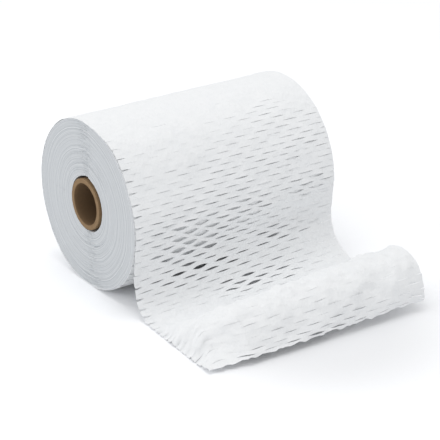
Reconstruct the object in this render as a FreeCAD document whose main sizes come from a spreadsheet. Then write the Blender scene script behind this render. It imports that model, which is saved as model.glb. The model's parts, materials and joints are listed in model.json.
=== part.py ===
"""Roll of slit packing paper on a cardboard core, lying on its side.

The roll's axis is X and it rests on a level floor.  The free end of the paper leaves
the top of the roll, hangs down its front (-Y), runs out over the floor and rises into
a low hollow curl.  The curl is open at its right end, and at its left end it comes
down to a margin that lies flat on the floor.

The origin is the middle of the core's bore.  Millimetres, +Z up.
"""
import FreeCAD, Part

import math
import os

import Sketcher
from FreeCAD import Vector

# name, value, what it is
SIZES = (
    ("roll_radius", 72.0, "outside of the wound turns"),
    ("roll_width", 199.0, "width of the paper"),
    ("flat_spot", 0.7, "how far the roll settles on the floor"),
    ("core_bore_radius", 17.5, "inside of the cardboard core"),
    ("core_wall", 4.2, "wall of the cardboard core"),
    ("core_stickout", 0.4, "core past the paper at each end"),
    ("core_edge_break", 0.5, "softened edge of the cut core"),
    ("core_slack", 2.0, "how much larger the hole in the paper is, on its radius"),
    ("core_slack_angle", 157.0, "degrees round from the back to the widest slack"),
    ("core_clearance", 0.15, "least gap between the core and the paper"),
    ("turn_pitch", 6.4, "from one raised bundle of turns to the next"),
    ("turn_ridge", 3.2, "width of a raised bundle of turns"),
    ("turn_relief", 0.8, "height of a raised bundle of turns"),
    ("turn_margin", 1.2, "plain rim inside and outside the raised bundles"),
    ("web_thickness", 1.6, "free end of the paper, standing on its opened slits"),
    ("web_start_angle", 104.0, "degrees round from the back to the free end's root"),
    ("web_root", 6.0, "loosened turns under the free end, near its root"),
    ("web_root_taper", 30.0, "length over which the loosened turns thin out"),
    ("left_lift", 4.2, "loosened turns off the roll, left edge"),
    ("right_lift", 0.9, "loosened turns off the roll, right edge"),
    ("left_drift", 6.4, "how far the left edge has drifted outwards at its end"),
    ("crease_share", 0.075, "share of the width from the left edge to the crease"),
    ("bulge_share", 0.18, "share of the width from the left edge to the full curl"),
    ("slit_pitch", 21.0, "from one slit to the next across the paper"),
    ("slit_row_pitch", 4.7, "from one row of slits to the next"),
    ("slit_length", 12.6, "opened length of a slit"),
    ("slit_opening", 2.4, "opened height of a slit"),
    ("slit_rows", 12.0, "rows of slits that hang open"),
    ("slit_start", 112.0, "along the free end to its first open row"),
    ("slit_edge_margin", 3.0, "least paper from a slit's middle to the edge"),
)

# The outer face of the free end along four lines: how far each station lies in front
# of the roll, and how far above the floor.
STATIONS = (
    # name, left edge, crease, start of the full curl, right edge
    ("front", (6.4, 74.0), (6.1, 73.9), (5.4, 73.5), (0.9, 71.3)),
    ("hang", (3.9, 46.0), (3.6, 46.2), (2.8, 46.5), (-2.3, 49.0)),
    ("knee", (2.9, 25.0), (2.7, 25.5), (2.1, 26.8), (-1.6, 35.0)),
    ("foot", (9.8, 8.6), (9.7, 9.0), (9.6, 10.0), (8.5, 16.6)),
    ("toe", (20.5, 3.6), (20.7, 3.9), (21.3, 4.6), (25.0, 9.3)),
    ("valley", (35.5, 2.1), (34.5, 3.2), (36.5, 2.8), (41.0, 4.2)),
    ("rise", (49.0, 2.1), (47.0, 9.8), (52.0, 12.5), (57.0, 17.0)),
    ("slope", (63.0, 2.1), (61.0, 15.7), (68.0, 24.0), (72.0, 36.0)),
    ("crest", (77.0, 2.1), (75.0, 20.3), (87.5, 32.5), (91.0, 44.2)),
    ("brow", (89.0, 2.1), (87.0, 18.0), (103.0, 28.0), (110.0, 40.0)),
    ("nose", (99.0, 2.1), (97.0, 12.0), (114.5, 17.5), (121.5, 25.0)),
    ("tuck", (107.5, 2.1), (107.0, 6.0), (119.5, 8.5), (123.4, 12.0)),
    ("end", (116.5, 2.1), (117.5, 2.1), (121.5, 3.2), (122.5, 5.5)),
)

LINES = ("left", "crease", "bulge", "right")
SHOULDER_ANGLES = (124.0, 144.0, 162.0)
ROOT_BITE = 1.0
STEPS_PER_TURN = 30
FOLDS_PER_STATION = 4
SLIT_DEPTH_SHARE = 1.5


def make_sheet(doc):
    """Makes the spreadsheet that holds every driving dimension."""
    rows = list(SIZES)
    for name, *places in STATIONS:
        for line, (out, up) in zip(LINES, places):
            rows.append(("%s_%s_out" % (line, name), out, "in front of the roll"))
            rows.append(("%s_%s_up" % (line, name), up, "above the floor"))
    sheet = doc.addObject("Spreadsheet::Sheet", "Sizes")
    for row, (name, value, note) in enumerate(rows, start=1):
        sheet.set("A%d" % row, name)
        sheet.set("B%d" % row, str(value))
        sheet.set("C%d" % row, note)
        sheet.setAlias("B%d" % row, name)
    doc.recompute()
    return sheet


def end_sketch(body, name):
    """Adds a sketch in the body's YZ plane, square to the roll's axis."""
    plane = next(item for item in body.Origin.OriginFeatures if item.Role == "YZ_Plane")
    sketch = body.newObject("Sketcher::SketchObject", name)
    sketch.AttachmentSupport = (plane, "")
    sketch.MapMode = "FlatFace"
    return sketch


def bind(sketch, constraint, expression):
    """Adds a dimension to a sketch and ties it to the sheet."""
    index = sketch.addConstraint(constraint)
    sketch.setExpression("Constraints[%d]" % index, expression)


def add_ring(sketch, radius, expression):
    """Adds a circle on the roll's axis whose radius follows the sheet."""
    ring = sketch.addGeometry(Part.Circle(Vector(0, 0, 0), Vector(0, 0, 1), radius))
    sketch.addConstraint(Sketcher.Constraint("Coincident", ring, 3, -1, 1))
    bind(sketch, Sketcher.Constraint("Radius", ring, radius), expression)


def add_loose_hole(sketch, sheet):
    """Adds the hole in the paper, in which the core has come loose to one side."""
    radius = sheet.core_bore_radius + sheet.core_wall + sheet.core_slack
    shift = sheet.core_slack - sheet.core_clearance
    turn = math.radians(sheet.core_slack_angle)
    middle = Vector(shift * math.cos(turn), shift * math.sin(turn), 0)
    hole = sketch.addGeometry(Part.Circle(middle, Vector(0, 0, 1), radius))
    bind(
        sketch,
        Sketcher.Constraint("Radius", hole, radius),
        "Sizes.core_bore_radius + Sizes.core_wall + Sizes.core_slack",
    )
    expression = "(Sizes.core_slack - Sizes.core_clearance) * %s(Sizes.core_slack_angle)"
    for kind, value, wave in (("DistanceX", middle.x, "cos"), ("DistanceY", middle.y, "sin")):
        bind(sketch, Sketcher.Constraint(kind, -1, 1, hole, 3, value), expression % wave)


def add_settled_rim(sketch, sheet):
    """Adds the roll's outline, a circle with a short flat where it rests."""
    radius = sheet.roll_radius
    drop = radius - sheet.flat_spot
    half_angle = math.acos(drop / radius)
    lowest = -math.pi / 2
    circle = Part.Circle(Vector(0, 0, 0), Vector(0, 0, 1), radius)
    rim = sketch.addGeometry(
        Part.ArcOfCircle(circle, lowest + half_angle, lowest - half_angle + 2 * math.pi)
    )
    half_flat = radius * math.sin(half_angle)
    flat = sketch.addGeometry(
        Part.LineSegment(Vector(half_flat, -drop, 0), Vector(-half_flat, -drop, 0))
    )
    sketch.addConstraint(Sketcher.Constraint("Coincident", rim, 3, -1, 1))
    sketch.addConstraint(Sketcher.Constraint("Coincident", rim, 1, flat, 1))
    sketch.addConstraint(Sketcher.Constraint("Coincident", rim, 2, flat, 2))
    sketch.addConstraint(Sketcher.Constraint("Horizontal", flat))
    bind(sketch, Sketcher.Constraint("Radius", rim, radius), "Sizes.roll_radius")
    bind(
        sketch,
        Sketcher.Constraint("DistanceY", flat, 1, -1, 1, drop),
        "Sizes.roll_radius - Sizes.flat_spot",
    )


def pad_both_ways(body, sketch, name, length_expression):
    """Pads a sketch evenly to both sides of the middle of the roll."""
    pad = body.newObject("PartDesign::Pad", name)
    pad.Profile = sketch
    pad.SideType = "Symmetric"
    pad.setExpression("Length", length_expression)
    return pad


def make_core_tube(doc, sheet):
    """Makes the wound cardboard core, open right through."""
    body = doc.addObject("PartDesign::Body", "CoreTube")
    body.Label = "core_tube"
    sketch = end_sketch(body, "CoreSection")
    add_ring(sketch, sheet.core_bore_radius, "Sizes.core_bore_radius")
    outer = sheet.core_bore_radius + sheet.core_wall
    add_ring(sketch, outer, "Sizes.core_bore_radius + Sizes.core_wall")
    length = "Sizes.roll_width + 2 * Sizes.core_stickout"
    pad = pad_both_ways(body, sketch, "CoreLength", length)
    doc.recompute()
    rims = [
        "Edge%d" % (index + 1)
        for index, edge in enumerate(pad.Shape.Edges)
        if isinstance(edge.Curve, Part.Circle)
    ]
    chamfer = body.newObject("PartDesign::Chamfer", "CoreEdgeBreak")
    chamfer.Base = (pad, rims)
    chamfer.setExpression("Size", "Sizes.core_edge_break")
    body.Tip = chamfer
    return body


def make_wound_turns(doc, sheet):
    """Makes the wound paper up to the foot of its raised bundles of turns."""
    body = doc.addObject("PartDesign::Body", "WoundTurns")
    sketch = end_sketch(body, "TurnsSection")
    add_settled_rim(sketch, sheet)
    add_loose_hole(sketch, sheet)
    length = "Sizes.roll_width - 2 * Sizes.turn_relief"
    pad_both_ways(body, sketch, "TurnsWidth", length)
    return body


def spiral(radius, pitch, turns):
    """Returns the corners of a flat spiral about the roll's axis, inner end first."""
    steps = max(2, math.ceil(turns * STEPS_PER_TURN))
    corners = []
    for step in range(steps + 1):
        angle = 2 * math.pi * turns * step / steps
        reach = radius + pitch * turns * step / steps
        corners.append(Vector(0, reach * math.cos(angle), reach * math.sin(angle)))
    return corners


def make_raised_turns(doc, sheet):
    """Makes the spiral band of turns that stands proud of both end faces."""
    core = sheet.core_bore_radius + sheet.core_wall
    inner = core + 2 * sheet.core_slack + sheet.turn_margin
    outer = sheet.roll_radius - sheet.flat_spot - sheet.turn_margin
    turns = (outer - inner - sheet.turn_ridge) / sheet.turn_pitch
    inside = spiral(inner, sheet.turn_pitch, turns)
    outside = spiral(inner + sheet.turn_ridge, sheet.turn_pitch, turns)
    section = doc.addObject("Part::Feature", "RaisedTurnsSection")
    section.Shape = Part.Face(Part.makePolygon(inside + outside[::-1] + inside[:1]))
    ridge = doc.addObject("Part::Extrusion", "RaisedTurns")
    ridge.Base = section
    ridge.DirMode = "Custom"
    ridge.Dir = Vector(1, 0, 0)
    ridge.Symmetric = True
    ridge.Solid = True
    ridge.setExpression("LengthFwd", "Sizes.roll_width")
    return ridge


def on_roll(sheet, angle, lift):
    """Returns a point of the roll's outside, lifted off it."""
    turn = math.radians(angle)
    reach = sheet.roll_radius + lift
    return Vector(0, reach * math.cos(turn), reach * math.sin(turn))


def line_shares(sheet):
    """Returns how far across the paper each line lies, from 0 at the left to 1."""
    return dict(zip(LINES, (0.0, sheet.crease_share, sheet.bulge_share, 1.0)))


def line_stations(sheet, line, share):
    """Lists the points of the free end's outer face along one line, root first."""
    floor = sheet.flat_spot - sheet.roll_radius
    lift = sheet.left_lift + (sheet.right_lift - sheet.left_lift) * share
    points = [on_roll(sheet, sheet.web_start_angle, -ROOT_BITE)]
    points += [on_roll(sheet, angle, lift) for angle in SHOULDER_ANGLES]
    for station in STATIONS:
        out = getattr(sheet, "%s_%s_out" % (line, station[0]))
        up = getattr(sheet, "%s_%s_up" % (line, station[0]))
        points.append(Vector(0, -sheet.roll_radius - out, floor + up))
    return points


def shared_distances(left, right):
    """Measures along the free end to each station, as the mean of its two edges."""
    distances = [0.0]
    for index in range(1, len(left)):
        steps = [(side[index] - side[index - 1]).Length for side in (left, right)]
        distances.append(distances[-1] + sum(steps) / len(steps))
    return distances


def facet(*corners):
    """Returns the flat face between corners."""
    return Part.Face(Part.makePolygon(corners + corners[:1]))


def split(first, second, third, fourth):
    """Splits a four-cornered strip along its shorter diagonal into two facets."""
    if (third - first).Length <= (fourth - second).Length:
        return [facet(first, second, third), facet(first, third, fourth)]
    return [facet(first, second, fourth), facet(second, third, fourth)]


class FreeEnd:
    """The run of the paper's free end, as one curve along each of its lines."""

    def __init__(self, sheet):
        self.sheet = sheet
        self.shares = line_shares(sheet)
        stations = {
            line: line_stations(sheet, line, share) for line, share in self.shares.items()
        }
        self.distances = shared_distances(stations["left"], stations["right"])
        self.curves = {line: self.interpolate(stations[line]) for line in LINES}
        self.front = self.distances[len(SHOULDER_ANGLES) + 1]

    def interpolate(self, points):
        """Draws a smooth curve through points at the shared distances."""
        curve = Part.BSplineCurve()
        curve.interpolate(Points=points, Parameters=self.distances)
        return curve

    def along(self, line, distance):
        """Returns the unit direction of a line at a distance from the root."""
        return self.curves[line].tangent(distance)[0].normalize()

    def thickness(self, distance):
        """Returns the depth of paper there, which thins out as it leaves the roll."""
        sheet = self.sheet
        share = (distance - self.front) / sheet.web_root_taper + 0.5
        share = min(1.0, max(0.0, share))
        blend = share * share * (3 - 2 * share)
        return sheet.web_root + (sheet.web_thickness - sheet.web_root) * blend

    def place(self, line, point):
        """Moves a point of the section across the paper to its line."""
        sheet = self.sheet
        half = sheet.roll_width / 2
        reach = max(sheet.left_end_out, 1.0)
        left = -half - sheet.left_drift * (-point.y - sheet.roll_radius) / reach
        return Vector(left + (half - left) * self.shares[line], point.y, point.z)

    def folds(self):
        """Lists the distances along the free end at which its section bends."""
        folds = self.distances[:1]
        for start, end in zip(self.distances, self.distances[1:]):
            step = (end - start) / FOLDS_PER_STATION
            folds += [start + step * fold for fold in range(1, FOLDS_PER_STATION + 1)]
        return folds

    def section(self, line):
        """Lists the corners of the closed section of the paper along one line."""
        outer, inner = [], []
        for distance in self.folds():
            point = self.curves[line].value(distance)
            heading = self.along(line, distance)
            inward = Vector(0, -heading.z, heading.y)
            outer.append(self.place(line, point))
            inner.append(self.place(line, point + inward * self.thickness(distance)))
        return outer + inner[::-1]

    def solid(self):
        """Folds the paper out of flat facets, two to each strip between two lines."""
        sections = [self.section(line) for line in LINES]
        facets = [facet(*sections[0]), facet(*sections[-1])]
        for near, far in zip(sections, sections[1:]):
            strips = zip(near, near[1:] + near[:1], far[1:] + far[:1], far)
            for corners in strips:
                facets += split(*corners)
        shell = Part.makeShell(facets)
        shell.sewShape()
        return Part.makeSolid(shell)

    def slit(self, distance, share):
        """Makes the cutter of one opened slit, a share of the way across."""
        sheet = self.sheet
        pairs = zip(LINES, LINES[1:])
        pair = next((near, far) for near, far in pairs if share <= self.shares[far])
        near, far = (self.shares[line] for line in pair)
        part = (share - near) / (far - near)
        start, stop = (self.place(line, self.curves[line].value(distance)) for line in pair)
        middle = start + (stop - start) * part
        across = (stop - start).normalize()
        downs = [self.along(line, distance) for line in pair]
        down = (downs[0] * (1 - part) + downs[1] * part).normalize()
        normal = across.cross(down).normalize()
        reach = normal * sheet.web_thickness * SLIT_DEPTH_SHARE
        tip = across * (sheet.slit_length / 2)
        lip = down * (sheet.slit_opening / 2)
        ring = [-tip, -tip / 2 + lip, tip / 2 + lip, tip, tip / 2 - lip, -tip / 2 - lip]
        return facet(*[middle - reach + corner for corner in ring]).extrude(reach * 2)

    def slits(self):
        """Makes every slit, in rows that step half a pitch from one to the next."""
        sheet = self.sheet
        limit = sheet.roll_width / 2 - sheet.slit_edge_margin
        cutters = []
        for row in range(round(sheet.slit_rows)):
            distance = sheet.slit_start + row * sheet.slit_row_pitch
            shift = sheet.slit_pitch / 2 if row % 2 else 0.0
            count = math.floor((limit + shift) / sheet.slit_pitch)
            for column in range(-count, count + 1):
                place = column * sheet.slit_pitch - shift
                if abs(place) <= limit:
                    cutters.append(self.slit(distance, 0.5 + place / sheet.roll_width))
        return cutters


def make_slit_web(doc, sheet):
    """Makes the free end of the paper with the slits that hang open."""
    free_end = FreeEnd(sheet)
    web = doc.addObject("Part::Feature", "FreeEnd")
    web.Shape = free_end.solid()
    slits = doc.addObject("Part::Feature", "Slits")
    slits.Shape = Part.makeCompound(free_end.slits())
    slit_web = doc.addObject("Part::Cut", "SlitFreeEnd")
    slit_web.Base = web
    slit_web.Tool = slits
    return slit_web


def join(doc, name, base, tool):
    """Joins two features into one solid."""
    joined = doc.addObject("Part::Fuse", name)
    joined.Base = base
    joined.Tool = tool
    return joined


def make_paper_roll(doc, sheet):
    """Makes the paper, its wound turns and its free end in one piece."""
    wound = make_wound_turns(doc, sheet)
    roll = join(doc, "WoundRoll", wound, make_raised_turns(doc, sheet))
    paper = join(doc, "PaperRoll", roll, make_slit_web(doc, sheet))
    paper.Label = "paper_roll"
    return paper


def check_document(doc, parts):
    """Stops if any feature failed or a part isn't one sound solid."""
    for item in doc.Objects:
        if "Invalid" in item.State or "Error" in item.State:
            raise RuntimeError("%s failed: %s" % (item.Name, item.State))
    for part in parts:
        shape = part.Shape
        if shape.isNull() or not shape.isValid() or len(shape.Solids) != 1:
            raise RuntimeError("%s isn't one sound solid" % part.Label)


def main():
    """Builds the roll and writes one STEP file for each piece."""
    doc = FreeCAD.newDocument("PaperRoll")
    sheet = make_sheet(doc)
    parts = [make_core_tube(doc, sheet), make_paper_roll(doc, sheet)]
    doc.recompute()
    check_document(doc, parts)
    os.makedirs("parts", exist_ok=True)
    for part in parts:
        box = part.Shape.BoundBox
        part.Shape.exportStep("parts/%s.step" % part.Label)
        print(
            "%s: volume %.0f mm3, x %.1f..%.1f, y %.1f..%.1f, z %.2f..%.2f"
            % (part.Label, part.Shape.Volume, box.XMin, box.XMax, box.YMin, box.YMax,
               box.ZMin, box.ZMax)
        )


main()
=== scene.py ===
"""Dresses and lights a roll of slit packing paper on a brown board core.

The roll lies on its side. The end of its paper leaves the top of the roll, hangs down the
front, runs out over the floor and rises into a hollow curl. Everything is in metres and in
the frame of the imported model: the roll's axis is X, the free end runs out towards -Y, and
the origin is the middle of the core's bore. Sizes are written in millimetres.
"""

from __future__ import annotations

import json
import logging
import math
from collections.abc import Iterable
from dataclasses import dataclass, field
from enum import Enum
from typing import Any, Protocol

import bpy
import numpy as np
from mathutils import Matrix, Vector

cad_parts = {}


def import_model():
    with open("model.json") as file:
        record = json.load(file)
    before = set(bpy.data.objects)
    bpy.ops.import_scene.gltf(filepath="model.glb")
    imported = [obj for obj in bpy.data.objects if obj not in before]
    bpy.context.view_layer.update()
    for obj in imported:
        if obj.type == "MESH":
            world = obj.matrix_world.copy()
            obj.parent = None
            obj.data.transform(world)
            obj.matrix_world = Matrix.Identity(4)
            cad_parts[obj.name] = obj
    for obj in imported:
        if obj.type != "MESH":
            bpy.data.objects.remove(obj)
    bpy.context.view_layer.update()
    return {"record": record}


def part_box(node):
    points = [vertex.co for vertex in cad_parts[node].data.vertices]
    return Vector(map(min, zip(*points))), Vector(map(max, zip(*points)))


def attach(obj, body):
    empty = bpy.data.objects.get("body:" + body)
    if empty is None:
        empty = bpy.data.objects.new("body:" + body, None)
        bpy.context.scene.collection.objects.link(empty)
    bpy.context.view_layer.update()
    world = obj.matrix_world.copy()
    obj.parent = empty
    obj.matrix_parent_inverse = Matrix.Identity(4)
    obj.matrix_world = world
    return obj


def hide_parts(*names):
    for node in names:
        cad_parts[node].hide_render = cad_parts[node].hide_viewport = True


LOG = logging.getLogger("paper_roll")
MM = 0.001
BODY = "root"
SEAM_REACH = 0.01 * MM

Array = np.ndarray
Piece = bpy.types.Object
Tree = bpy.types.NodeTree
Socket = bpy.types.NodeSocket
Material = bpy.types.Material
Pair = tuple[float, float]
# The shortest and longest length of some waves, and how many there are.
Waves = tuple[float, float, int]


class Slot(Enum):
    """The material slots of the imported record."""

    PAPER = "slit_paper"
    BOARD = "core_board"


# ---------------------------------------------------------------- finishes


def linear(code: str) -> tuple[float, float, float, float]:
    """Turns an sRGB hex colour into the linear colour that a shader takes.

    Args:
        code: Six hex digits.

    Returns:
        Linear red, green and blue, and an alpha of 1.
    """
    parts = [int(code[place : place + 2], 16) / 255 for place in (0, 2, 4)]
    red, green, blue = (
        part / 12.92 if part <= 0.04045 else ((part + 0.055) / 1.055) ** 2.4 for part in parts
    )
    return (red, green, blue, 1.0)


def add_node(
    tree: Tree, kind: str, inputs: dict[Any, Any] | None = None, **settings: Any
) -> bpy.types.Node:
    """Adds a node, sets its properties, and fills or links its sockets.

    Args:
        tree: The node tree that takes the node.
        kind: The node's type name, without the prefix that all of them have.
        inputs: A value or an output socket for each input, by name or number.
        **settings: Properties of the node.

    Returns:
        The new node.
    """
    node = tree.nodes.new("ShaderNode" + kind)
    for name, value in settings.items():
        setattr(node, name, value)
    for name, value in (inputs or {}).items():
        if isinstance(value, Socket):
            tree.links.new(value, node.inputs[name])
        else:
            node.inputs[name].default_value = value
    return node


def start_material(name: str) -> tuple[Material, Tree]:
    """Makes an empty node material.

    Args:
        name: The material's name.

    Returns:
        The material and its cleared node tree.
    """
    material = bpy.data.materials.new(name)
    material.use_nodes = True
    material.node_tree.nodes.clear()
    return material, material.node_tree


def axis_reach(tree: Tree, place: Socket) -> Socket:
    """Adds the distance from the roll's axis.

    Args:
        tree: The material's node tree.
        place: Places on the object.

    Returns:
        How far the places are from the axis.
    """
    flat = add_node(tree, "VectorMath", {0: place, 1: (0, 1, 1)}, operation="MULTIPLY")
    reach = add_node(tree, "VectorMath", {0: flat.outputs[0]}, operation="LENGTH")
    return reach.outputs["Value"]


@dataclass(frozen=True)
class Finish:
    """What the object's finishes share: a matt surface of two colours with a fine relief."""

    light: str
    shade: str
    roughness: float
    specular: float = 0.2
    ior: float = 1.45

    def build(self, name: str) -> Material:
        """Builds the material.

        Args:
            name: The material's name.

        Returns:
            The material.
        """
        material, tree = start_material(name)
        place = add_node(tree, "TexCoord").outputs["Object"]
        tint, normal = self.draw(tree, place)
        surface = add_node(
            tree,
            "BsdfPrincipled",
            {
                "Base Color": tint,
                "Roughness": self.roughness,
                "IOR": self.ior,
                "Specular IOR Level": self.specular,
                "Normal": normal,
            },
        )
        add_node(tree, "OutputMaterial", {"Surface": surface.outputs[0]})
        return material

    def draw(self, tree: Tree, place: Socket) -> tuple[Socket, Socket]:
        """Draws the finish.

        Args:
            tree: The material's node tree.
            place: Places on the object.

        Returns:
            The finish's colour and relief.
        """
        raise NotImplementedError


@dataclass(frozen=True)
class SlitPaper(Finish):
    """Uncoated bleached kraft tissue, machine made: matt, faintly mottled and fibrous."""

    light: str = "FAFBFC"
    shade: str = "F2F4F6"
    roughness: float = 0.82
    specular: float = 0.25
    mottle_mm: float = 9.0
    fibre_mm: float = 0.9
    fibre_depth_mm: float = 0.05
    pucker_mm: float = 3.2
    pucker_depth_mm: float = 0.6

    def draw(self, tree: Tree, place: Socket) -> tuple[Socket, Socket]:
        """Draws the mottle, the soft dents that the slits leave and the paper's tooth.

        Args:
            tree: The material's node tree.
            place: Places on the object.

        Returns:
            The paper's colour and relief.
        """
        mottle, pucker, fibre = (
            add_node(
                tree, "TexNoise", {"Vector": place, "Scale": 1 / (size * MM), "Detail": detail}
            ).outputs["Fac"]
            for size, detail in ((self.mottle_mm, 3.0), (self.pucker_mm, 1.0), (self.fibre_mm, 4.0))
        )
        tint = add_node(
            tree, "Mix", {0: mottle, 6: linear(self.shade), 7: linear(self.light)}, data_type="RGBA"
        )
        dents = add_node(tree, "Bump", {"Height": pucker, "Distance": self.pucker_depth_mm * MM})
        tooth = add_node(
            tree,
            "Bump",
            {
                "Height": fibre,
                "Distance": self.fibre_depth_mm * MM,
                "Normal": dents.outputs["Normal"],
            },
        )
        return tint.outputs[2], tooth.outputs["Normal"]


@dataclass(frozen=True)
class WoundEdges(Finish):
    """The cut edges of hundreds of turns of the same paper, seen on the roll's ends.

    The turns are drawn as coarse as they need to be to show. The darker rings, and the grey
    they give the ends, are painted shade: the shade that falls between the turns.
    """

    light: str = "F4F6F8"
    shade: str = "A9AFB4"
    roughness: float = 0.9
    turn_mm: float = 0.9
    turn_depth_mm: float = 0.2
    wander_mm: float = 30.0
    wander_reach_mm: float = 2.5
    fleck_mm: float = 1.6
    fleck_share: float = 0.4

    def draw(self, tree: Tree, place: Socket) -> tuple[Socket, Socket]:
        """Draws wandering rings with flecks on them, the darker rings as painted shade.

        Args:
            tree: The material's node tree.
            place: Places on the object.

        Returns:
            The edges' colour and relief.
        """
        wander, fleck = (
            add_node(
                tree, "TexNoise", {"Vector": place, "Scale": 1 / (size * MM), "Detail": 2.0}
            ).outputs["Fac"]
            for size in (self.wander_mm, self.fleck_mm)
        )
        shifted = add_node(
            tree,
            "Math",
            {0: wander, 1: self.wander_reach_mm * MM, 2: axis_reach(tree, place)},
            operation="MULTIPLY_ADD",
        )
        turns = add_node(
            tree,
            "TexNoise",
            {"W": shifted.outputs[0], "Scale": 1 / (self.turn_mm * MM), "Detail": 3.0},
            noise_dimensions="1D",
        ).outputs["Fac"]
        height = add_node(
            tree, "Math", {0: fleck, 1: self.fleck_share, 2: turns}, operation="MULTIPLY_ADD"
        )
        relief = add_node(
            tree, "Bump", {"Height": height.outputs[0], "Distance": self.turn_depth_mm * MM}
        )
        # painted shade: the rings' darker colour stands for the shade between the turns
        tint = add_node(
            tree, "Mix", {0: turns, 6: linear(self.shade), 7: linear(self.light)}, data_type="RGBA"
        )
        return tint.outputs[2], relief.outputs["Normal"]


@dataclass(frozen=True)
class WoundBoard(Finish):
    """Unbleached grey-brown core board, spiral wound and saw cut: matt and fibrous."""

    light: str = "A88E6E"
    shade: str = "7C6247"
    roughness: float = 0.88
    bore_shade: str = "7A634A"
    bore_shade_radius_mm: float = 17.9
    fibre_mm: float = 0.7
    fibre_stretch: float = 5.0
    blotch_mm: float = 6.0
    ply_mm: float = 0.55
    fibre_depth_mm: float = 0.08

    def draw(self, tree: Tree, place: Socket) -> tuple[Socket, Socket]:
        """Draws blotches and plies in equal parts, with painted shade on the bore's wall.

        Args:
            tree: The material's node tree.
            place: Places on the object.

        Returns:
            The board's colour and relief.
        """
        reach = axis_reach(tree, place)
        stretched = add_node(
            tree, "Mapping", {"Vector": place, "Scale": (1 / self.fibre_stretch, 1, 1)}
        )
        fibre, blotch = (
            add_node(
                tree, "TexNoise", {"Vector": spot, "Scale": 1 / (size * MM), "Detail": detail}
            ).outputs["Fac"]
            for spot, size, detail in (
                (stretched.outputs[0], self.fibre_mm, 4.0), (place, self.blotch_mm, 2.0)
            )
        )
        plies = add_node(
            tree,
            "TexNoise",
            {"W": reach, "Scale": 1 / (self.ply_mm * MM), "Detail": 1.0},
            noise_dimensions="1D",
        )
        mixed = add_node(
            tree, "Mix", {0: 0.5, 2: blotch, 3: plies.outputs["Fac"]}, data_type="FLOAT"
        )
        # painted shade: inside the bore the colour turns to one darker brown, for the shade in the
        # bore
        in_bore_shade = add_node(
            tree, "Math", {0: reach, 1: self.bore_shade_radius_mm * MM}, operation="LESS_THAN"
        )
        tint: Any = linear(self.shade)
        for share, colour in ((mixed, self.light), (in_bore_shade, self.bore_shade)):
            tint = add_node(
                tree, "Mix", {0: share.outputs[0], 6: tint, 7: linear(colour)}, data_type="RGBA"
            ).outputs[2]
        relief = add_node(tree, "Bump", {"Height": fibre, "Distance": self.fibre_depth_mm * MM})
        return tint, relief.outputs["Normal"]


@dataclass(frozen=True)
class PaleFloor:
    """A matt white studio floor that the camera sees brighter than it lights the roll.

    It is seen as it is in front of the curl, where the shade that falls on it shows. Away from
    there the camera sees it brightened by painted light that grows with distance.
    """

    colour: str = "F7F8FA"
    painted_pool_middle_mm: tuple[float, float, float] = (10.0, -184.0, -71.3)
    near_gain: float = 1.0
    far_gain: float = 1.27
    near_mm: float = 42.0
    far_mm: float = 155.0

    def build(self, name: str) -> Material:
        """Builds the material.

        Args:
            name: The material's name.

        Returns:
            The floor's material.
        """
        material, tree = start_material(name)
        place = add_node(tree, "TexCoord").outputs["Object"]
        middle = tuple(value * MM for value in self.painted_pool_middle_mm)
        reach = add_node(tree, "VectorMath", {0: place, 1: middle}, operation="DISTANCE")
        # painted light: the camera-ray gain grows with distance from the middle of the pool of
        # shade
        gain = add_node(
            tree,
            "MapRange",
            {
                "Value": reach.outputs["Value"],
                "From Min": self.near_mm * MM,
                "From Max": self.far_mm * MM,
                "To Min": self.near_gain,
                "To Max": self.far_gain,
            },
            interpolation_type="SMOOTHSTEP",
        )
        seen = add_node(
            tree,
            "VectorMath",
            {0: linear(self.colour)[:3], "Scale": gain.outputs[0]},
            operation="SCALE",
        )
        path = add_node(tree, "LightPath")
        tint = add_node(
            tree,
            "Mix",
            {0: path.outputs["Is Camera Ray"], 6: linear(self.colour), 7: seen.outputs[0]},
            data_type="RGBA",
        )
        matt = add_node(tree, "BsdfDiffuse", {"Color": tint.outputs[2]})
        add_node(tree, "OutputMaterial", {"Surface": matt.outputs[0]})
        return material


# ---------------------------------------------------------------- mesh helpers


def deselect_all() -> None:
    """Deselects every object, so that an operator acts on one piece alone."""
    bpy.ops.object.select_all(action="DESELECT")


def activate(piece: Piece) -> None:
    """Makes a piece the only selected and active object."""
    deselect_all()
    piece.select_set(True)
    bpy.context.view_layer.objects.active = piece


def add_grid(name: str, columns: int, rows: int) -> Piece:
    """Adds a flat unit grid to be shaped into a piece.

    Args:
        name: The piece's name.
        columns: Faces across, along X.
        rows: Faces along Y.

    Returns:
        The grid, which spans -0.5 to 0.5 both ways.
    """
    deselect_all()
    bpy.ops.mesh.primitive_grid_add(x_subdivisions=columns, y_subdivisions=rows, size=1.0)
    piece = bpy.context.active_object
    piece.name = piece.data.name = name
    return piece


def read_points(piece: Piece) -> Array:
    """Returns the piece's vertices as rows of x, y and z."""
    points = np.empty(len(piece.data.vertices) * 3)
    piece.data.vertices.foreach_get("co", points)
    return points.reshape(-1, 3)


def write_points(piece: Piece, points: Array) -> None:
    """Moves the piece's vertices to new places."""
    piece.data.vertices.foreach_set("co", points.ravel())
    piece.data.update()


def apply_modifier(piece: Piece, kind: str, **settings: Any) -> None:
    """Adds a modifier to a piece and applies it.

    Args:
        piece: The piece to change.
        kind: The modifier's type name.
        **settings: Properties of the modifier.
    """
    activate(piece)
    modifier = piece.modifiers.new(kind.title(), kind)
    for name, value in settings.items():
        setattr(modifier, name, value)
    bpy.ops.object.modifier_apply(modifier=modifier.name)


def hand_over(piece: Piece, slot: Slot, *nodes: str) -> None:
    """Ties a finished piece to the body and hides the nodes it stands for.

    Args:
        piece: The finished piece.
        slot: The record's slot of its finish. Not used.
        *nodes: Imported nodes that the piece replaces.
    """
    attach(piece, BODY)
    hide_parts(*nodes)
    LOG.info("%s: %d faces", piece.name, len(piece.data.polygons))


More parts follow.
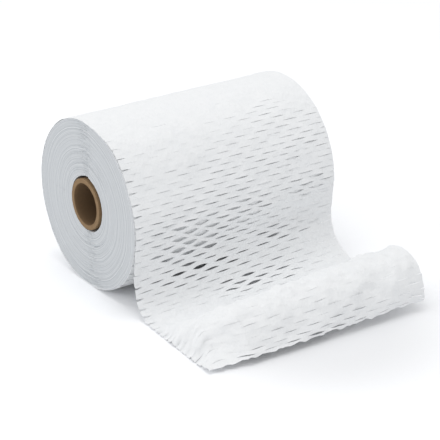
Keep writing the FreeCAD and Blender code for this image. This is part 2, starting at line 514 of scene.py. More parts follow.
class Shaped:
    """A piece of the object that shapes itself and shades smooth up to its own angle."""

    smooth_angle: float

    def build(self, material: Material) -> Piece:
        """Builds the piece.

        Args:
            material: Its material.

        Returns:
            The finished piece.
        """
        piece = self.shape()
        activate(piece)
        bpy.ops.object.shade_smooth_by_angle(angle=math.radians(self.smooth_angle))
        piece.data.materials.clear()
        piece.data.materials.append(material)
        return piece

    def shape(self) -> Piece:
        """Shapes the piece's mesh."""
        raise NotImplementedError


class Ring(Shaped):
    """A piece that is bent round the roll's axis from a closed section."""

    name: str
    spokes: int

    def shape(self) -> Piece:
        """Bends a flat grid into the ring, closes it and turns its faces outwards."""
        section = self.section()
        piece = add_grid(self.name, self.spokes, len(section))
        points = read_points(piece)
        turn = (points[:, 0] + 0.5) * math.tau
        index = np.rint((points[:, 1] + 0.5) * len(section)).astype(int) % len(section)
        write_points(piece, self.place(turn, *section[index].T) * MM)
        activate(piece)
        bpy.ops.object.mode_set(mode="EDIT")
        bpy.ops.mesh.select_all(action="SELECT")
        bpy.ops.mesh.remove_doubles(threshold=SEAM_REACH)
        bpy.ops.mesh.normals_make_consistent(inside=False)
        bpy.ops.object.mode_set(mode="OBJECT")
        return piece

    def section(self) -> Array:
        """Returns the closed section, one point to a row."""
        raise NotImplementedError

    def place(self, turn: Array, first: Array, second: Array) -> Array:
        """Returns where points of the section lie.

        Args:
            turn: Angles round the axis, in radians.
            first: The first value of the section's points.
            second: Their second value.

        Returns:
            Places in millimetres, one to a row.
        """
        raise NotImplementedError


@dataclass(frozen=True)
class Ripple:
    """Smooth random waves, the same on every run."""

    seed: int
    shortest: float
    longest: float
    waves: int

    def __call__(self, across: Array, along: Array) -> Array:
        """Returns a height of about -1 to 1 at each place.

        Args:
            across: Places one way, in the unit of the wave lengths.
            along: Places the other way.

        Returns:
            The waves' height there.
        """
        draw = np.random.default_rng(self.seed)
        total = np.zeros(np.broadcast(across, along).shape)
        for _ in range(self.waves):
            length = draw.uniform(self.shortest, self.longest)
            heading = draw.uniform(0, math.tau)
            phase = draw.uniform(0, math.tau)
            travel = across * math.cos(heading) + along * math.sin(heading)
            total += np.sin(travel * math.tau / length + phase)
        return total / math.sqrt(self.waves * 2)


class SmoothPath:
    """A smooth curve through points at given distances, straight at its two ends."""

    def __init__(self, knots: Array, points: Array) -> None:
        """Solves for the curve's bend at each point.

        Args:
            knots: The distance of each point, growing.
            points: The points, one to a row.
        """
        self.knots, self.points = knots, points
        steps = np.diff(knots)
        slopes = np.diff(points, axis=0) / steps[:, None]
        count = len(knots)
        system, target = np.eye(count), np.zeros_like(points)
        for row in range(1, count - 1):
            before, after = steps[row - 1], steps[row]
            system[row, row - 1 : row + 2] = before, 2 * (before + after), after
            target[row] = 6 * (slopes[row] - slopes[row - 1])
        self.bends = np.linalg.solve(system, target)

    def __call__(self, distance: Array) -> Array:
        """Returns the points of the curve at some distances, one to a row."""
        knots = self.knots
        start = np.clip(np.searchsorted(knots, distance, side="right") - 1, 0, len(knots) - 2)
        step = (knots[start + 1] - knots[start])[:, None]
        after = (distance[:, None] - knots[start][:, None]) / step
        before = 1 - after
        bend = (before**3 - before) * self.bends[start]
        bend += (after**3 - after) * self.bends[start + 1]
        return before * self.points[start] + after * self.points[start + 1] + bend * step**2 / 6


# ---------------------------------------------------------------- the paper's run


@dataclass(frozen=True)
class Profile:
    """A value that changes along the paper, given at some distances."""

    distances: tuple[float, ...]
    values: tuple[float, ...]

    def at(self, distance: Array) -> Array:
        """Returns the value at some distances."""
        return np.interp(distance, self.distances, self.values)


@dataclass(frozen=True)
class Frame:
    """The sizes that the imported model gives, in millimetres."""

    radius: float
    half_width: float
    floor: float
    core_radius: float
    core_half: float
    bore_radius: float

    @classmethod
    def read(cls, record: dict[str, Any]) -> Frame:
        """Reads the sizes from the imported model.

        Args:
            record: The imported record.

        Returns:
            The sizes.
        """
        low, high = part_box("paper_roll")
        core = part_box("core_tube")[1]
        bore = next(item for item in record["mounts"] if item["name"] == "core_bore")
        return cls(
            radius=high.z / MM,
            half_width=high.x / MM,
            floor=low.z / MM,
            core_radius=core.z / MM,
            core_half=core.x / MM,
            bore_radius=bore["dims"]["r_mm"],
        )


@dataclass(frozen=True)
class Station:
    """Where the free end lies along each of its lengthwise lines, in millimetres.

    Each place is how far it is in front of the roll and how far above the floor.
    """

    name: str
    left: Pair
    crease: Pair
    bulge: Pair
    right: Pair


STATIONS = (
    Station("front", (6.4, 74.0), (6.1, 73.9), (5.4, 73.5), (0.9, 71.3)),
    Station("hang", (3.9, 46.0), (3.6, 46.2), (2.8, 46.5), (-2.3, 49.0)),
    Station("knee", (2.9, 25.0), (2.7, 25.5), (2.1, 26.8), (-1.6, 35.0)),
    Station("foot", (9.8, 8.6), (9.7, 9.0), (9.6, 10.0), (8.5, 16.6)),
    Station("toe", (20.5, 3.6), (20.7, 3.9), (21.3, 4.6), (25.0, 9.3)),
    Station("valley", (35.5, 2.1), (34.5, 3.2), (36.5, 2.8), (41.0, 4.2)),
    Station("rise", (49.0, 2.1), (47.0, 9.8), (52.0, 12.5), (57.0, 17.0)),
    Station("slope", (63.0, 2.1), (61.0, 15.7), (68.0, 24.0), (72.0, 36.0)),
    Station("crest", (77.0, 2.1), (75.0, 20.3), (87.5, 32.5), (91.0, 44.2)),
    Station("brow", (89.0, 2.1), (87.0, 18.0), (103.0, 28.0), (110.0, 40.0)),
    Station("nose", (99.0, 2.1), (97.0, 12.0), (114.5, 17.5), (121.5, 25.0)),
    Station("tuck", (107.5, 2.1), (107.0, 6.0), (119.5, 8.5), (123.4, 12.0)),
    Station("end", (116.5, 2.1), (117.5, 2.1), (121.5, 3.2), (122.5, 5.5)),
)
LINES = {"left": 0.0, "crease": 0.075, "bulge": 0.18, "right": 1.0}


class Run(Protocol):
    """A surface that a sheet of paper follows."""

    length: float

    def point(self, distance: Array, share: Array) -> Array:
        """Returns places on the surface, in millimetres."""


@dataclass
class RoundRun:
    """Paper that lies on the roll over part of its way round and swells at its left edge."""

    frame: Frame
    start: float
    end: float
    lift: float
    swell: Profile
    swell_power: float = 0.7
    length: float = field(init=False)

    def __post_init__(self) -> None:
        """Works out how long the paper is."""
        self.length = math.radians(self.end - self.start) * (self.frame.radius + self.lift)

    def point(self, distance: Array, share: Array) -> Array:
        """Returns places on the surface.

        Args:
            distance: How far along the paper, in millimetres.
            share: How far across it, 0 at the left edge and 1 at the right.

        Returns:
            Places in millimetres, one to a row.
        """
        reach = self.frame.radius + self.lift
        turn = math.radians(self.start) + distance / reach
        x = self.frame.half_width * (2 * share - 1)
        reach = reach + self.swell.at(np.degrees(turn)) * (1 - share) ** self.swell_power
        return np.stack([x, reach * np.cos(turn), reach * np.sin(turn)], -1)


@dataclass
class FreeRun:
    """The outermost turn and the free end, from under the roll to the curl on the floor."""

    frame: Frame
    wrap_start: float = -85.0
    wrap_end: float = 105.0
    wrap_points: int = 12
    wrap_lift: float = 0.5
    shoulders: tuple[float, ...] = (124.0, 144.0, 162.0)
    lifts: Pair = (4.2, 0.9)
    left_drift: float = 6.4
    drift_out: float = 116.5
    length: float = field(init=False)

    def __post_init__(self) -> None:
        """Draws the paper's lengthwise lines through their stations."""
        lines = [self.line_points(name) for name in LINES]
        steps = [np.linalg.norm(np.diff(line, axis=0), axis=1) for line in lines]
        self.knots = np.concatenate([[0.0], np.cumsum((steps[0] + steps[-1]) / 2)])
        self.lines = [SmoothPath(self.knots, line) for line in lines]
        self.length = float(self.knots[-1])

    def on_roll(self, angle: float, lift: float) -> Pair:
        """Returns a place round the roll as y and z."""
        reach = self.frame.radius + lift
        return reach * math.cos(math.radians(angle)), reach * math.sin(math.radians(angle))

    def line_points(self, name: str) -> Array:
        """Lists the points that one lengthwise line of the paper passes through.

        Args:
            name: Which line.

        Returns:
            Its points as rows of y and z, in millimetres.
        """
        left, right = self.lifts
        lift = left + (right - left) * LINES[name]
        angles = np.linspace(self.wrap_start, self.wrap_end, self.wrap_points)
        points = [self.on_roll(angle, self.wrap_lift) for angle in angles]
        points += [self.on_roll(angle, lift) for angle in self.shoulders]
        for stop in STATIONS:
            out, up = getattr(stop, name)
            points.append((-self.frame.radius - out, self.frame.floor + up))
        return np.array(points)

    def station(self, name: str) -> float:
        """Returns the distance along the paper of a named station."""
        index = [stop.name for stop in STATIONS].index(name)
        return float(self.knots[index - len(STATIONS)])

    def point(self, distance: Array, share: Array) -> Array:
        """Returns places on the surface.

        Args:
            distance: How far along the paper, in millimetres.
            share: How far across it, 0 at the left edge and 1 at the right.

        Returns:
            Places in millimetres, one to a row.
        """
        lines = [line(distance) for line in self.lines]
        out = np.maximum(0.0, -lines[0][:, 0] - self.frame.radius) / self.drift_out
        start = -self.frame.half_width - self.left_drift * out
        x = start + (self.frame.half_width - start) * share
        shares = list(LINES.values())
        flat = lines[0].copy()
        for index, (near, far) in enumerate(zip(shares, shares[1:])):
            blend = np.clip((share - near) / (far - near), 0.0, 1.0)[:, None]
            if index == 0:
                blend = blend * blend * (3 - 2 * blend)
            flat += (lines[index + 1] - lines[index]) * blend
        return np.stack([x, flat[:, 0], flat[:, 1]], -1)


def surface_frame(run: Run, distance: Array, share: Array) -> tuple[Array, Array, Array]:
    """Returns places on a run with the ways along the paper and out of it.

    Args:
        run: The surface that the paper follows.
        distance: How far along the paper, in millimetres.
        share: How far across it.

    Returns:
        Places, unit vectors along the paper and unit vectors out of it.
    """
    step, sliver = 0.4, 0.002
    ahead = run.point(np.minimum(distance + step, run.length), share)
    behind = run.point(np.maximum(distance - step, 0.0), share)
    along = ahead - behind
    along /= np.linalg.norm(along, axis=1)[:, None]
    right = run.point(distance, np.minimum(share + sliver, 1.0))
    left = run.point(distance, np.maximum(share - sliver, 0.0))
    outward = np.cross(along, right - left)
    outward /= np.linalg.norm(outward, axis=1)[:, None]
    return run.point(distance, share), along, outward


# ---------------------------------------------------------------- slit sheets


@dataclass(frozen=True)
class SlitLattice:
    """The staggered rows of slits punched in the paper, in millimetres."""

    columns: int = 94
    column_width: float = 2.117
    columns_per_slit: int = 10
    half_slit: int = 4
    row_pitch: float = 4.7
    rows_between: int = 2
    lens_reach: float = 3.3
    lens_power: float = 0.85

    def row_count(self, length: float) -> int:
        """Returns how many rows of slits a length of paper holds."""
        return int(length // self.row_pitch)

    def offset(self, column: Array, row: Array) -> Array:
        """Returns how many columns away the nearest slit's middle is.

        Args:
            column: Columns counted from the left edge.
            row: Rows of slits counted from the start.

        Returns:
            The signed offset from the slit's middle.
        """
        half = self.columns_per_slit // 2
        shift = np.where(row % 2 == 0, 0, half)
        return (column - shift + half) % self.columns_per_slit - half

    def lens(self, offset: Array) -> Array:
        """Returns how far a slit gapes at an offset, from 0 at its tips to 1."""
        gape = np.clip(1 - (offset / self.lens_reach) ** 2, 0.0, 1.0)
        return gape**self.lens_power


@dataclass(frozen=True)
class OpenZone:
    """A place on the paper where the slits stand more open.

    Along is in millimetres from the start, across is a share of the width.
    """

    along: float
    across: float
    reach_along: float
    reach_across: float
    amount: float

    def at(self, along: Array, across: Array) -> Array:
        """Returns the zone's opening at some places."""
        near = ((along - self.along) / self.reach_along) ** 2
        near = near + ((across - self.across) / self.reach_across) ** 2
        return self.amount * np.exp(-near)


def with_luck(luck: Pair, chance: Array) -> Array:
    """Returns what each slit has for sure together with what chance adds."""
    sure, added = luck
    return sure + added * chance


@dataclass
class SlitSheet(Shaped):
    """One sheet of slit paper, cut from a grid and laid along its run.

    Lengths are in millimetres. A luck is what each slit has for sure and the most that
    chance adds, and an edge's pair is a value at the left edge and one at the right.
    """

    name: str
    run: Run
    floor: float
    opening: Profile
    flare: Profile
    crumple: Profile
    zones: tuple[OpenZone, ...] = ()
    lattice: SlitLattice = SlitLattice()
    gape: float = 2.6
    opening_luck: Pair = (0.1, 1.5)
    zone_luck: Pair = (0.65, 0.6)
    lip_lean: float = 0.4
    lean: Profile = Profile((0.0, 1.0), (1.0, 1.0))
    flare_luck: Pair = (0.3, 1.4)
    patch_waves: Waves = (45.0, 110.0, 14)
    patch_luck: Pair = (0.75, 0.6)
    patch_limits: Pair = (0.15, 1.4)
    open_flare: float = 0.3
    tuck_in: float = 0.4
    edge_opening: Pair = (0.36, 0.1)
    edge_flare: Pair = (0.5, 0.15)
    edge_looseness: Profile = Profile((0.0, 1.0), (1.0, 1.0))
    coarse_waves: Waves = (18.0, 46.0, 14)
    fine_waves: Waves = (6.0, 13.0, 20)
    fine_share: float = 0.65
    skew: Profile = Profile((0.0, 1.0), (0.0, 0.0))
    skew_share: float = 0.12
    skew_power: float = 1.5
    ragged: float = 0.0
    ragged_waves: Waves = (4.5, 10.0, 24)
    end_lift: float = 0.0
    end_push: float = 0.0
    end_reach: float = 22.0
    inset: float = 0.0
    floor_gap: float = 0.12
    paper: float = 0.22
    smooth_angle: float = 50.0
    seed: int = 7

    def shape(self) -> Piece:
        """Cuts the sheet, lays it and gives it its thickness."""
        lattice = self.lattice
        rows = lattice.row_count(self.run.length)
        steps = rows * lattice.rows_between
        piece = add_grid(self.name, lattice.columns, steps)
        self.cut_slits(piece, steps)
        self.lay(piece, rows, steps)
        apply_modifier(piece, "SOLIDIFY", thickness=self.paper * MM, offset=-1.0)
        return piece

    def grid_places(self, points: Array, steps: int) -> tuple[Array, Array]:
        """Returns the column and the step along the paper of flat grid points."""
        column = (points[:, 0] + 0.5) * self.lattice.columns
        step = (0.5 - points[:, 1]) * steps
        return column, step

    def cut_slits(self, piece: Piece, steps: int) -> None:
        """Splits the flat grid along every slit.

        Args:
            piece: The flat grid.
            steps: Rows of faces along it.
        """
        lattice = self.lattice
        mesh = piece.data
        column, step = self.grid_places(read_points(piece), steps)
        column, step = np.rint(column).astype(int), np.rint(step).astype(int)
        ends = np.empty(len(mesh.edges) * 2, dtype=np.int64)
        mesh.edges.foreach_get("vertices", ends)
        first, second = ends.reshape(-1, 2).T
        level = (step[first] == step[second]) & (step[first] % lattice.rows_between == 0)
        row = step[first] // lattice.rows_between
        cut = level & (step[first] > 0) & (step[first] < steps)
        for end in (first, second):
            cut = cut & (np.abs(lattice.offset(column[end], row)) <= lattice.half_slit)
        bpy.context.tool_settings.mesh_select_mode = (False, True, False)
        for parts in (mesh.vertices, mesh.polygons):
            parts.foreach_set("select", np.zeros(len(parts), dtype=bool))
        mesh.edges.foreach_set("select", cut)
        activate(piece)
        bpy.ops.object.mode_set(mode="EDIT")
        bpy.ops.mesh.edge_split(type="EDGE")
        bpy.ops.object.mode_set(mode="OBJECT")

    def lip_sides(self, piece: Piece, step: Array, steps: int) -> Array:
        """Tells the two lips of each slit apart.

        Args:
            piece: The flat grid with its slits cut.
            step: Each vertex's step along the paper.
            steps: Rows of faces along it.

        Returns:
            For each vertex 1 on a lower lip, -1 on an upper lip and 0 elsewhere.
        """
        mesh = piece.data
        corners = np.empty(len(mesh.loops), dtype=np.int64)
        mesh.loops.foreach_get("vertex_index", corners)
        middles = np.empty(len(mesh.polygons) * 3)
        mesh.polygons.foreach_get("center", middles)
        _, middle = self.grid_places(middles.reshape(-1, 3), steps)
        face = np.repeat(np.arange(len(mesh.polygons)), 4)
        total = np.bincount(corners, weights=middle[face], minlength=len(step))
        uses = np.bincount(corners, minlength=len(step))
        lean = total / uses - step
        return np.where(np.abs(lean) > self.lip_lean, np.sign(lean), 0.0)

    def slit_middles(self, rows: int) -> tuple[Array, Array]:
        """Returns the row and the middle column of the slit at each grid point."""
        row = np.arange(rows + 1)[:, None]
        column = np.arange(self.lattice.columns + 1)[None, :]
        return row, column - self.lattice.offset(column, row)

    def chances(self, rows: int, seed: int) -> Array:
        """Draws a number from 0 to 1 for each slit, given at each grid point."""
        row, middle = self.slit_middles(rows)
        margin = self.lattice.columns_per_slit
        drawn = np.random.default_rng(seed).uniform(
            0, 1, (rows + 1, self.lattice.columns + 2 * margin)
        )
        return drawn[row, middle + margin]

    def amounts(self, rows: int) -> Array:
        """Decides how far each slit stands open.

        Args:
            rows: Rows of slits on the sheet.

        Returns:
            An amount for each row and each column of grid points.
        """
        lattice = self.lattice
        row, middle = self.slit_middles(rows)
        along, across = row * lattice.row_pitch, middle / lattice.columns
        chance = self.chances(rows, self.seed)
        amount = self.opening.at(along) * with_luck(self.opening_luck, chance)
        local = sum(zone.at(along, across) for zone in self.zones)
        amount = amount + local * with_luck(self.zone_luck, chance)
        least = self.at_edges(middle, self.edge_opening) * self.edge_looseness.at(along)
        return np.clip(np.maximum(amount, least), 0, 1)

    def flares(self, rows: int) -> Array:
        """Decides how far the lips of each slit stand off the sheet, in millimetres.

        Args:
            rows: Rows of slits on the sheet.

        Returns:
            A height for each row and each column of grid points.
        """
        lattice = self.lattice
        row, middle = self.slit_middles(rows)
        along = row * lattice.row_pitch
        patches = Ripple(self.seed + 4, *self.patch_waves)(middle * lattice.column_width, along)
        chance = self.chances(rows, self.seed + 5)
        height = self.flare.at(along) * with_luck(self.flare_luck, chance)
        height = height * np.clip(with_luck(self.patch_luck, patches), *self.patch_limits)
        edges = self.at_edges(middle, self.edge_flare) * self.edge_looseness.at(along)
        return height + edges

    def at_edges(self, column: Array, values: Pair) -> Array:
        """Returns a value where slits run out of the left or right edge, and 0 elsewhere.

        Args:
            column: Columns counted from the left edge.
            values: The value at the left and at the right edge.

        Returns:
            The value at each column.
        """
        lattice = self.lattice
        left = np.where(column < lattice.half_slit, values[0], 0.0)
        return left + np.where(column > lattice.columns - lattice.half_slit, values[1], 0.0)

    def lay(self, piece: Piece, rows: int, steps: int) -> None:
        """Opens the slits and lays the sheet along its run.

        Args:
            piece: The flat grid with its slits cut.
            rows: Rows of slits on the sheet.
            steps: Rows of faces along it.
        """
        lattice = self.lattice
        column, step = self.grid_places(read_points(piece), steps)
        side = self.lip_sides(piece, step, steps)
        share = column / lattice.columns
        distance = step * self.run.length / steps
        row = np.clip(np.rint(step / lattice.rows_between).astype(int), 0, rows)
        whole = np.rint(column).astype(int)
        amount = self.amounts(rows)[row, whole]
        gape = lattice.lens(lattice.offset(whole, row)) * side
        near_left = np.clip(1 - share / self.skew_share, 0.0, 1.0)
        pull = self.skew.at(distance) * near_left**self.skew_power
        places, along, outward = surface_frame(self.run, distance - pull, share)
        lean = self.lean.at(distance)
        flare = (self.flares(rows)[row, whole] + self.open_flare * amount) * lean
        lift = flare * gape * np.where(side * lean < 0, self.tuck_in, 1.0)
        across = share * lattice.columns * lattice.column_width
        coarse = Ripple(self.seed + 1, *self.coarse_waves)(across, distance)
        fine = Ripple(self.seed + 2, *self.fine_waves)(across, distance)
        lift = lift + self.crumple.at(distance) * (coarse + self.fine_share * fine) - self.inset
        tear = Ripple(self.seed + 3, *self.ragged_waves)(across, 0.0)
        slide = self.gape * amount * gape + self.ragged * tear * (np.rint(step) >= steps - 1)
        places = places + along * slide[:, None] + outward * lift[:, None]
        to_end = np.clip(1 - (self.run.length - distance) / self.end_reach, 0.0, 1.0)
        places[:, 1] -= self.end_push * to_end**2 * (1 - share)
        places[:, 2] += self.end_lift * to_end**2
        places[:, 2] = np.maximum(places[:, 2], self.floor + self.floor_gap)
        write_points(piece, places * MM)


# ---------------------------------------------------------------- the wound body and the core


def degrees_from(turn: Array, angle: float) -> Array:
    """Returns how far angles in radians are from an angle in degrees, -180 to 180."""
    return (np.degrees(turn) - angle + 180) % 360 - 180


@dataclass(frozen=True)
class TurnGap:
    """A stretch where one turn has come away from the next.

    Radius, width and depth are in millimetres, the angles in degrees.
    """

    radius: float
    angle: float
    spread: float
    depth: float = 1.1
    width: float = 0.45

    def at(self, radius: Array, turn: Array) -> Array:
        """Returns the gap's depth at some places on the end of the roll."""
        across = ((radius - self.radius) / self.width) ** 2
        off = degrees_from(turn, self.angle) / self.spread
        return self.depth * np.exp(-across - off**2)


@dataclass
class WoundTurns(Ring):
    """All the turns under the outermost ones, as one body with ringed ends.

    The outer ones swell at the left end as the turn over them does. A ring pitch is a
    width and its share of the relief, and a loose spot is an angle and its spread.
    """

    frame: Frame
    swell: Profile
    name: str = "wound_turns"
    radius_inset: float = 0.55
    slack: float = 2.0
    slack_angle: float = 157.0
    clearance: float = 0.15
    loose_power: float = 9.0
    floor_gap: float = 0.1
    spokes: int = 288
    rings: int = 105
    rim_steps: int = 9
    ring_draws: int = 400
    ring_depth: float = 0.3
    ring_pitches: tuple[Pair, Pair] = ((0.8, 1.0), (2.3, 0.8))
    wobble_waves: Waves = (1.1, 3.0, 8)
    wobble_reach: float = 0.9
    bump_depth: float = 0.2
    bump_waves: Waves = (3.0, 7.0, 24)
    bump_stretch: tuple[float, float, float] = (1.8, 34.0, 9.0)
    bump_least: float = 0.4
    loose_spots: tuple[Pair, ...] = ((88.0, 11.0), (262.0, 13.0))
    loose_rings: float = 1.6
    loose_bumps: float = 4.0
    gaps: tuple[TurnGap, ...] = (
        TurnGap(30.0, 60.0, 50.0, 0.7),
        TurnGap(34.4, 95.0, 40.0),
        TurnGap(37.0, 105.0, 34.0),
        TurnGap(43.5, 80.0, 40.0, 0.6),
        TurnGap(36.0, 262.0, 44.0, 1.0),
        TurnGap(52.0, 265.0, 30.0, 0.6),
    )
    smooth_angle: float = 60.0
    seed: int = 21

    def section(self) -> Array:
        """Returns the closed section as rows of side, -1 to 1, and reach, 0 to 1."""
        outwards = np.linspace(0, 1, self.rings)
        widths = np.linspace(-1, 1, self.rim_steps)[1:-1]
        left = [(-1.0, reach) for reach in outwards]
        rim = [(width, 1.0) for width in widths]
        right = [(1.0, reach) for reach in outwards[::-1]]
        hole = [(width, 0.0) for width in widths[::-1]]
        return np.array(left + rim + right + hole)

    def place(self, turn: Array, side: Array, reach: Array) -> Array:
        """Returns where points of the section lie.

        Args:
            turn: Angles round the axis, in radians.
            side: -1 at the left end to 1 at the right end.
            reach: 0 at the hole to 1 at the rim.

        Returns:
            Places in millimetres, one to a row.
        """
        frame = self.frame
        hole = frame.core_radius + self.slack
        rim = frame.radius - self.radius_inset
        radius = hole + (rim - hole) * reach
        loose = self.swell.at(np.degrees(turn)) * (1 - side) / 2
        radius = radius + loose * reach**self.loose_power
        shift = (self.slack - self.clearance) * (1 - reach)
        away = math.radians(self.slack_angle)
        y = radius * np.cos(turn) + shift * math.cos(away)
        z = radius * np.sin(turn) + shift * math.sin(away)
        relief = self.relief(turn, radius, side) * (np.abs(side) == 1)
        x = side * frame.half_width - np.sign(side) * relief
        return np.stack([x, y, np.maximum(z, frame.floor + self.floor_gap)], -1)

    def relief(self, turn: Array, radius: Array, side: Array) -> Array:
        """Returns how far the end of the roll dips at each place.

        Args:
            turn: Angles round the axis, in radians.
            radius: Distances from the axis.
            side: Which end of the roll.

        Returns:
            Depths in millimetres, 0 or more.
        """
        bands = np.random.default_rng(self.seed).uniform(0, 1, self.ring_draws)
        wobble = Ripple(self.seed + 1, *self.wobble_waves)(np.cos(turn), np.sin(turn) + side)
        bend = radius + self.wobble_reach * wobble
        rings = sum(
            share * np.interp(bend / pitch, np.arange(self.ring_draws), drawn)
            for (pitch, share), drawn in zip(self.ring_pitches, (bands, bands[::-1]))
        )
        out, round_turn, sideways = self.bump_stretch
        bumps = Ripple(self.seed + 2, *self.bump_waves)(
            radius * out, turn * round_turn + side * sideways
        )
        loose = sum(
            np.exp(-((degrees_from(turn, angle) / spread) ** 2))
            for angle, spread in self.loose_spots
        )
        depth = self.ring_depth * rings * (1 + self.loose_rings * loose)
        depth += self.bump_depth * (1 + bumps) * (self.bump_least + self.loose_bumps * loose)
        for gap in self.gaps:
            depth += gap.at(radius, turn)
        return depth


@dataclass
class BoardCore(Ring):
    """The spiral-wound board tube that the paper is wound on."""

    frame: Frame
    name: str = "board_core"
    spokes: int = 160
    seam_pitch: float = 62.0
    seam_depth: float = 0.18
    seam_width: float = 1.6
    lip: float = 0.5
    chamfer: float = 0.15
    steps: int = 60
    end_steps: int = 8
    fuzz_waves: Waves = (1.5, 4.0, 20)
    fuzz_stretch: float = 2.0
    fuzz_depth: float = 0.08
    smooth_angle: float = 35.0
    seed: int = 5

    def section(self) -> Array:
        """Returns the closed section as rows of x and radius, in millimetres."""
        half, lip, chamfer = self.frame.core_half, self.lip, self.chamfer
        inner, outer = self.frame.bore_radius, self.frame.core_radius
        along = np.linspace(-half + lip, half - lip, self.steps)
        end = [
            (half - chamfer, inner + chamfer),
            *((half, radius) for radius in np.linspace(inner + lip, outer - lip, self.end_steps)),
            (half - chamfer, outer - chamfer),
        ]
        bore = [(x, inner) for x in along]
        skin = [(x, outer) for x in along[::-1]]
        start = [(-x, radius) for x, radius in end[::-1]]
        return np.array(bore + end + skin + start)

    def place(self, turn: Array, x: Array, radius: Array) -> Array:
        """Returns where points of the section lie, with the seam and the fuzzy ends.

        Args:
            turn: Angles round the axis, in radians.
            x: The points' places along the core, in millimetres.
            radius: Their distances from the axis.

        Returns:
            Places in millimetres, one to a row.
        """
        middle = (self.frame.core_radius + self.frame.bore_radius) / 2
        phase = (x / self.seam_pitch - turn / math.tau) % 1.0
        near = np.minimum(phase, 1 - phase) * self.seam_pitch / self.seam_width
        groove = self.seam_depth * np.exp(-(near**2))
        radius = radius + np.where(radius < middle, groove, -groove)
        fuzz = Ripple(self.seed, *self.fuzz_waves)(turn * middle, radius * self.fuzz_stretch)
        at_end = np.abs(x) > self.frame.core_half - self.lip
        x = x + np.sign(x) * at_end * self.fuzz_depth * (fuzz - 1)
        return np.stack([x, radius * np.cos(turn), radius * np.sin(turn)], -1)


# ---------------------------------------------------------------- the paper as a whole


@dataclass
class PaperPieces:
    """The three pieces of the paper: its outermost turn, the one below and the rest."""

    frame: Frame
    finish: SlitPaper = SlitPaper()
    edges: WoundEdges = WoundEdges()
    swell: Profile = Profile(
        (95.0, 124.0, 144.0, 162.0, 180.0, 195.0, 208.0, 222.0, 238.0, 252.0),
        (0.0, 2.2, 2.5, 2.7, 3.4, 3.8, 4.3, 3.4, 1.4, 0.0),
    )

    def build(self) -> Iterable[Piece]:
        """Builds the paper's pieces one after another.

        Returns:
            The finished pieces.
        """
        paper = self.finish.build("bleached_kraft_paper")
        yield self.free_sheet().build(paper)
        yield self.under_turn().build(paper)
        turns = WoundTurns(self.frame, self.swell)
        yield turns.build(self.edges.build("wound_paper_edges"))

    def free_sheet(self) -> SlitSheet:
        """Describes the outermost turn, its hanging end and the curl on the floor."""
        run = FreeRun(self.frame)
        stops = (0.0, 230.0) + tuple(
            run.station(name)
            for name in ("front", "foot", "valley", "slope", "crest", "nose", "tuck", "end")
        )
        opening = (0.0, 0.02, 0.05, 0.06, 0.05, 0.05, 0.05, 0.06, 0.07, 0.07)
        flare = (0.12, 0.16, 0.65, 0.6, 0.5, 0.6, 0.6, 0.8, 0.8, 0.8)
        crumple = (0.16, 0.22, 0.6, 0.7, 0.75, 1.15, 1.25, 1.15, 1.0, 0.7)
        return SlitSheet(
            name="free_sheet",
            run=run,
            floor=self.frame.floor,
            opening=Profile(stops, opening),
            flare=Profile(stops, flare),
            crumple=Profile(stops, crumple),
            zones=tuple(
                OpenZone(*zone)
                for zone in (
                    (351.0, 0.27, 17.0, 0.18, 1.1),
                    (378.0, 0.29, 6.0, 0.20, 0.4),
                    (340.0, 0.82, 9.0, 0.07, 0.4),
                    (368.0, 0.69, 7.0, 0.06, 0.4),
                    (368.0, 0.72, 20.0, 0.22, 0.16),
                    (275.0, 0.85, 40.0, 0.30, 0.1),
                    (310.0, 0.55, 18.0, 0.25, 0.14),
                    (run.station("crest"), 0.01, 24.0, 0.04, 0.3),
                    (run.length - 6, 0.12, 4.0, 0.06, 0.4),
                    (run.length - 6, 0.5, 4.0, 0.06, 0.4),
                    (run.length - 6, 0.86, 4.0, 0.06, 0.4),
                    (338.0, 0.57, 14.0, 0.10, 0.5),
                    (322.0, 0.87, 32.0, 0.12, 0.3),
                    (402.0, 0.55, 10.0, 0.17, 0.4),
                    (242.0, 0.26, 8.0, 0.06, 0.35),
                )
            ),
            lean=Profile(
                (0.0, 285.0, 325.0, run.station("knee"), run.station("valley"), run.length),
                (1.0, 1.0, -1.0, -1.0, 1.0, 1.0),
            ),
            edge_looseness=Profile(
                (0.0, 195.0, 245.0, 320.0, run.length), (0.12, 0.12, 0.45, 1.0, 1.0)
            ),
            end_lift=2.5,
            end_push=3.0,
            skew=Profile(
                (run.station("valley"), run.station("crest"), run.length), (0.0, 5.0, 0.0)
            ),
            ragged=0.9,
            inset=0.5,
        )

    def under_turn(self) -> SlitSheet:
        """Describes the turn below, seen through the slits and beside the hanging end."""
        run = RoundRun(self.frame, start=95.0, end=275.0, lift=-0.3, swell=self.swell)
        ends = (0.0, run.length)
        return SlitSheet(
            name="under_turn",
            run=run,
            floor=self.frame.floor,
            opening=Profile(ends, (0.04, 0.04)),
            flare=Profile(ends, (0.22, 0.22)),
            crumple=Profile(ends, (0.08, 0.08)),
            edge_opening=(0.1, 0.05),
            edge_flare=(0.1, 0.1),
            seed=31,
        )


# ---------------------------------------------------------------- the studio


@dataclass(frozen=True)
class SoftLamp:
    """A square lamp, with its places and side in millimetres and its power in watts."""

    name: str
    place: tuple[float, float, float]
    aim: tuple[float, float, float]
    side: float
    power: float

    def build(self) -> None:
        """Hangs the lamp."""
        light = bpy.data.lights.new(self.name, "AREA")
        light.shape = "SQUARE"
        light.size = self.side * MM
        light.energy = self.power
        lamp = bpy.data.objects.new(self.name, light)
        bpy.context.scene.collection.objects.link(lamp)
        place, aim = Vector(self.place) * MM, Vector(self.aim) * MM
        lamp.location = place
        lamp.rotation_euler = (aim - place).to_track_quat("-Z", "Y").to_euler()


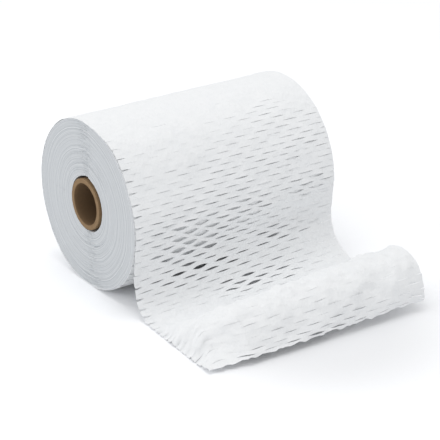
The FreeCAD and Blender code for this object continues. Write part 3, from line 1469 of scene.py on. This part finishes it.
@dataclass
class Studio:
    """The floor, the soft light and the camera."""

    floor: float
    floor_side: float = 8000.0
    sky: float = 0.68
    camera_place: tuple[float, float, float] = (-904.6, -1384.5, 694.8)
    camera_azimuth: float = -34.105
    camera_elevation: float = 23.924
    sensor: float = 36.0
    lens: float = 174.8
    lamps: tuple[SoftLamp, ...] = (
        SoftLamp("top_lamp", (-60.0, -90.0, 1500.0), (0.0, -60.0, -40.0), 900.0, 5.9),
        SoftLamp("left_lamp", (-1350.0, 300.0, 600.0), (0.0, -60.0, -20.0), 900.0, 2.8),
    )

    def build(self) -> None:
        """Builds the whole studio."""
        self.add_floor()
        self.add_sky()
        for lamp in self.lamps:
            lamp.build()
        self.add_camera()
        bpy.context.scene.view_settings.view_transform = "Standard"

    def add_floor(self) -> None:
        """Lays the floor that the roll rests on."""
        deselect_all()
        bpy.ops.mesh.primitive_plane_add(size=self.floor_side * MM)
        floor = bpy.context.active_object
        floor.name = floor.data.name = "studio_floor"
        points = read_points(floor)
        points[:, 2] = self.floor * MM
        write_points(floor, points)
        floor.data.materials.append(PaleFloor().build("white_floor"))

    def add_sky(self) -> None:
        """Makes an even sky that the camera sees as plain white."""
        world = bpy.data.worlds.new("soft_box")
        world.use_nodes = True
        tree = world.node_tree
        tree.nodes.clear()
        path = add_node(tree, "LightPath")
        seen = path.outputs["Is Camera Ray"]
        for ray in ("Is Glossy Ray", "Is Transmission Ray"):
            seen = add_node(
                tree, "Math", {0: seen, 1: path.outputs[ray]}, operation="MAXIMUM"
            ).outputs[0]
        strength = add_node(tree, "MapRange", {"Value": seen, "To Min": self.sky, "To Max": 1.0})
        sky = add_node(
            tree, "Background", {"Color": (1, 1, 1, 1), "Strength": strength.outputs["Result"]}
        )
        add_node(tree, "OutputWorld", {"Surface": sky.outputs[0]})
        bpy.context.scene.world = world

    def add_camera(self) -> None:
        """Places the camera level, looking down on the roll from its front left."""
        azimuth = math.radians(self.camera_azimuth)
        elevation = math.radians(self.camera_elevation)
        heading = Vector(
            (
                -math.sin(azimuth) * math.cos(elevation),
                math.cos(azimuth) * math.cos(elevation),
                -math.sin(elevation),
            )
        )
        data = bpy.data.cameras.new("camera")
        data.sensor_width = self.sensor
        data.lens = self.lens
        camera = bpy.data.objects.new("camera", data)
        bpy.context.scene.collection.objects.link(camera)
        camera.location = Vector(self.camera_place) * MM
        camera.rotation_euler = heading.to_track_quat("-Z", "Y").to_euler()
        bpy.context.scene.camera = camera


def main() -> None:
    """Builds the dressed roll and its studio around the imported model."""
    logging.basicConfig(level=logging.INFO, format="%(name)s: %(message)s")
    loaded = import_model()
    frame = Frame.read(loaded["record"])
    for piece in PaperPieces(frame).build():
        hand_over(piece, Slot.PAPER, "paper_roll")
    core = BoardCore(frame).build(WoundBoard().build("spiral_wound_board"))
    hand_over(core, Slot.BOARD, "core_tube")
    Studio(floor=frame.floor).build()


if __name__ == "__main__":
    main()
